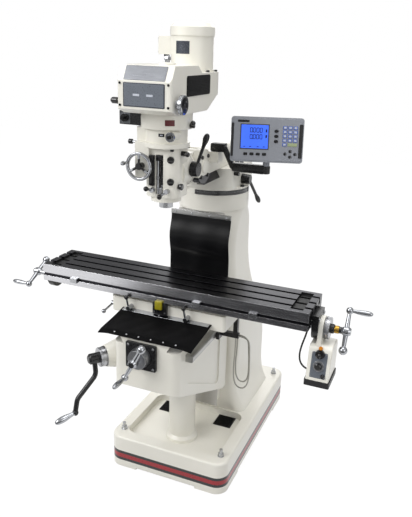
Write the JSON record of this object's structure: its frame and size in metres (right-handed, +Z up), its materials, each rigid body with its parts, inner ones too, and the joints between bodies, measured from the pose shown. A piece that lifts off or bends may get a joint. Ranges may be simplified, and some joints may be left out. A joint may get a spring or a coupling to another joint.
{
  "type": "milling machine",
  "caption": "Turret milling machine: knee, saddle and T-slot table on screws, swivelling turret, sliding ram, tilting head with quill and spindle, power feed and position display.",
  "frame": {"origin": "middle of the base's underside, on the floor", "axes": "+Z up, +X to the operator's right, the operator stands at -Y"},
  "size_m": [1.6805, 1.3475, 2.046],
  "materials": {
    "cream_paint": "gloss enamel",
    "ground_iron": "ground and oiled",
    "bright_steel": "turned",
    "chrome": "polished",
    "black_paint": "satin",
    "black_plastic": "gloss",
    "grey_plastic": "fine texture",
    "rubber_sheet": "smooth",
    "cable_armour": "wound strip",
    "scale_bar": "anodised"
  },
  "bodies": {
    "stand": {"base": "cream_paint", "levelling_bolts": "bright_steel", "column": "cream_paint", "screw_post": "cream_paint", "column_guard": "rubber_sheet"},
    "knee": {"knee": "cream_paint", "cross_feed_plate": "black_paint", "y_scale": "scale_bar", "front_way_cover": "rubber_sheet"},
    "elevating_screw": {"elevating_screw": "bright_steel"},
    "elevating_crank": {"elevating_shaft": "bright_steel", "elevating_crank": "black_paint"},
    "cross_screw": {"cross_screw": "bright_steel", "cross_crank": "chrome"},
    "saddle": {"saddle": "cream_paint", "scale_reader": "black_paint", "outer_cable": "cable_armour", "inner_cable": "cable_armour"},
    "table_lock_left": {"table_lock_left": "black_plastic"},
    "table_lock_right": {"table_lock_right": "black_plastic"},
    "saddle_lock": {"saddle_lock": "bright_steel"},
    "table": {"table": "ground_iron", "table_stops": "bright_steel", "screw_brackets": "ground_iron", "feed_housing": "cream_paint", "feed_cord": "rubber_sheet"},
    "feed_lever": {"feed_lever": "grey_plastic"},
    "speed_knob": {"speed_knob": "grey_plastic"},
    "lead_screw": {"lead_screw": "bright_steel", "table_cranks": "chrome"},
    "turret": {"turret": "cream_paint"},
    "ram_lock_front": {"ram_lock_front": "black_plastic"},
    "ram_lock_rear": {"ram_lock_rear": "black_plastic"},
    "ram_handle": {"ram_handle": "black_paint"},
    "ram": {"ram": "cream_paint"},
    "adapter": {"ram_adapter": "cream_paint"},
    "head": {"quill_housing": "cream_paint", "gear_housing": "cream_paint", "belt_housing": "cream_paint", "motor": "cream_paint", "fan_cover": "cream_paint", "drum_switch": "black_plastic", "drive_belt": "rubber_sheet"},
    "switch_lever": {"switch_lever": "black_plastic"},
    "motor_pulley": {"motor_pulley": "black_paint"},
    "spindle_pulley": {"spindle_pulley": "black_paint"},
    "quill": {"quill": "bright_steel"},
    "spindle": {"spindle": "bright_steel"},
    "quill_lever": {"quill_lever": "black_plastic"},
    "feed_wheel": {"feed_wheel": "chrome"},
    "trip_lever": {"trip_lever": "black_plastic"},
    "quill_lock": {"quill_lock": "black_plastic"},
    "engage_lever": {"engage_lever": "black_plastic"},
    "feed_select": {"feed_select": "black_plastic"},
    "range_lever": {"range_lever": "black_plastic"},
    "brake_lever": {"brake_lever": "black_plastic"},
    "rate_dial": {"rate_dial": "chrome"},
    "speed_wheel": {"speed_wheel": "chrome"},
    "display_arm": {"display_arm": "black_paint"},
    "display": {"display": "grey_plastic"}
  },
  "joints": [
    {"name": "knee_lift", "type": "slide", "parent": "stand", "child": "knee", "axis": [0, 0, 1], "range_m": [-0.10668, 0.2921], "deforming": ["column_guard"]},
    {"name": "elevating_screw_turn", "type": "hinge", "parent": "knee", "child": "elevating_screw", "pos_m": [0, -0.3, 0.6625], "axis": [0, 0, 1], "range_deg": [-7570, 20710]},
    {"name": "elevating_crank_turn", "type": "hinge", "parent": "knee", "child": "elevating_crank", "pos_m": [0, -0.3, 0.6625], "axis": [-0.6046, -0.7965, 0], "range_deg": [-41410, 15130]},
    {"name": "saddle_feed", "type": "slide", "parent": "knee", "child": "saddle", "axis": [0, -1, 0], "range_m": [-0.11176, 0.18796], "deforming": ["front_way_cover"]},
    {"name": "cross_crank_turn", "type": "hinge", "parent": "knee", "child": "cross_screw", "pos_m": [-0.012, -0.702, 0.754], "axis": [0, 1, 0], "range_deg": [-7930, 13330]},
    {"name": "table_feed", "type": "slide", "parent": "saddle", "child": "table", "axis": [1, 0, 0], "range_m": [-0.34036, 0.34036]},
    {"name": "lead_crank_turn", "type": "hinge", "parent": "table", "child": "lead_screw", "pos_m": [0, -0.3935, 0.9], "axis": [1, 0, 0], "range_deg": [-24130, 24130]},
    {"name": "table_lock_left_turn", "type": "hinge", "parent": "saddle", "child": "table_lock_left", "pos_m": [-0.17, -0.49, 0.8679], "axis": [0, 1, 0], "range_deg": [-30, 30]},
    {"name": "table_lock_right_turn", "type": "hinge", "parent": "saddle", "child": "table_lock_right", "pos_m": [0.104, -0.49, 0.8679], "axis": [0, 1, 0], "range_deg": [-30, 30]},
    {"name": "saddle_lock_turn", "type": "hinge", "parent": "saddle", "child": "saddle_lock", "pos_m": [-0.271, -0.45, 0.8441], "axis": [1, 0, 0], "range_deg": [-25, 25]},
    {"name": "feed_lever_turn", "type": "hinge", "parent": "table", "child": "feed_lever", "pos_m": [0.6715, -0.463, 0.81061], "axis": [0, -0.9787, 0.2053], "range_deg": [-25, 25]},
    {"name": "speed_knob_turn", "type": "hinge", "parent": "table", "child": "speed_knob", "pos_m": [0.6715, -0.47327, 0.76168], "axis": [0, -0.9787, 0.2053], "range_deg": [0, 270]},
    {"name": "turret_swivel", "type": "hinge", "parent": "stand", "child": "turret", "pos_m": [0, 0.02, 1.3183], "axis": [0, 0, 1], "range_deg": [-180, 180]},
    {"name": "ram_lock_front_turn", "type": "hinge", "parent": "turret", "child": "ram_lock_front", "pos_m": [0.1423, -0.098, 1.4243], "axis": [1, 0, 0], "range_deg": [-30, 30]},
    {"name": "ram_lock_rear_turn", "type": "hinge", "parent": "turret", "child": "ram_lock_rear", "pos_m": [0.1423, -0.012, 1.4243], "axis": [1, 0, 0], "range_deg": [-30, 30]},
    {"name": "ram_slide", "type": "slide", "parent": "turret", "child": "ram", "axis": [0, -1, 0], "range_m": [-0.115, 0.19]},
    {"name": "ram_handle_turn", "type": "hinge", "parent": "turret", "child": "ram_handle", "pos_m": [0, 0.015, 1.3805], "axis": [1, 0, 0], "range_deg": [-245.3, 398.8]},
    {"name": "head_nod", "type": "hinge", "parent": "ram", "child": "adapter", "pos_m": [0, -0.325, 1.4863], "axis": [1, 0, 0], "range_deg": [-45, 45]},
    {"name": "head_tilt", "type": "hinge", "parent": "adapter", "child": "head", "pos_m": [0, -0.422, 1.4863], "axis": [0, 1, 0], "range_deg": [-90, 15]},
    {"name": "switch_turn", "type": "hinge", "parent": "head", "child": "switch_lever", "pos_m": [-0.1528, -0.559, 1.6913], "axis": [0, 1, 0], "range_deg": [-45, 45]},
    {"name": "quill_feed", "type": "slide", "parent": "head", "child": "quill", "axis": [0, 0, 1], "range_m": [-0.127, 0]},
    {"name": "spindle_turn", "type": "hinge", "parent": "quill", "child": "spindle", "pos_m": [0, -0.504, 1.4], "axis": [0, 0, 1], "continuous": true},
    {"name": "spindle_pulley_turn", "type": "hinge", "parent": "head", "child": "spindle_pulley", "pos_m": [0, -0.504, 1.812], "axis": [0, 0, 1], "continuous": true},
    {"name": "motor_turn", "type": "hinge", "parent": "head", "child": "motor_pulley", "pos_m": [0, -0.275, 1.812], "axis": [0, 0, 1], "continuous": true},
    {"name": "quill_lever_turn", "type": "hinge", "parent": "head", "child": "quill_lever", "pos_m": [0, -0.4435, 1.4963], "axis": [1, 0, 0], "range_deg": [-10, 438]},
    {"name": "feed_wheel_turn", "type": "hinge", "parent": "head", "child": "feed_wheel", "pos_m": [-0.07, -0.602, 1.5153], "axis": [0, 1, 0], "continuous": true},
    {"name": "trip_lever_turn", "type": "hinge", "parent": "head", "child": "trip_lever", "pos_m": [-0.028, -0.565, 1.4223], "axis": [0, 1, 0], "range_deg": [-15, 15]},
    {"name": "quill_lock_turn", "type": "hinge", "parent": "head", "child": "quill_lock", "pos_m": [0.036, -0.565, 1.4223], "axis": [0, 1, 0], "range_deg": [-20, 20]},
    {"name": "engage_lever_turn", "type": "hinge", "parent": "head", "child": "engage_lever", "pos_m": [0.072, -0.518, 1.5663], "axis": [1, 0, 0], "range_deg": [-20, 20]},
    {"name": "feed_select_turn", "type": "hinge", "parent": "head", "child": "feed_select", "pos_m": [-0.1, -0.504, 1.5923], "axis": [1, 0, 0], "range_deg": [-30, 30]},
    {"name": "range_lever_turn", "type": "hinge", "parent": "head", "child": "range_lever", "pos_m": [0.1, -0.504, 1.6743], "axis": [1, 0, 0], "range_deg": [-20, 20]},
    {"name": "brake_turn", "type": "hinge", "parent": "head", "child": "brake_lever", "pos_m": [-0.109, -0.646, 1.762], "axis": [1, 0, 0], "range_deg": [-30, 30]},
    {"name": "rate_dial_turn", "type": "hinge", "parent": "head", "child": "rate_dial", "pos_m": [0.065, -0.604, 1.6387], "axis": [0, 1, 0], "range_deg": [0, 270]},
    {"name": "speed_wheel_turn", "type": "hinge", "parent": "head", "child": "speed_wheel", "pos_m": [0.109, -0.65, 1.762], "axis": [1, 0, 0], "continuous": true},
    {"name": "display_arm_swing", "type": "hinge", "parent": "ram", "child": "display_arm", "pos_m": [0.107, -0.25, 1.5423], "axis": [0, 0, 1], "range_deg": [-20, 60]},
    {"name": "display_swivel", "type": "hinge", "parent": "display_arm", "child": "display", "pos_m": [0.341, -0.276, 1.502], "axis": [0, 0, 1], "range_deg": [-30, 30]}
  ],
  "couplings": [
    {"joint": "elevating_screw_turn", "follows": "knee_lift", "rad_per_m": 1236.8},
    {"joint": "elevating_crank_turn", "follows": "knee_lift", "rad_per_m": -2473.7},
    {"joint": "cross_crank_turn", "follows": "saddle_feed", "rad_per_m": 1236.8},
    {"joint": "lead_crank_turn", "follows": "table_feed", "rad_per_m": 1236.8},
    {"joint": "ram_handle_turn", "follows": "ram_slide", "rad_per_m": 35.714},
    {"joint": "quill_lever_turn", "follows": "quill_feed", "rad_per_m": -58.824},
    {"joint": "spindle_pulley_turn", "follows": "spindle_turn", "ratio": 1},
    {"joint": "motor_turn", "follows": "spindle_turn", "ratio": 1.6118}
  ]
}
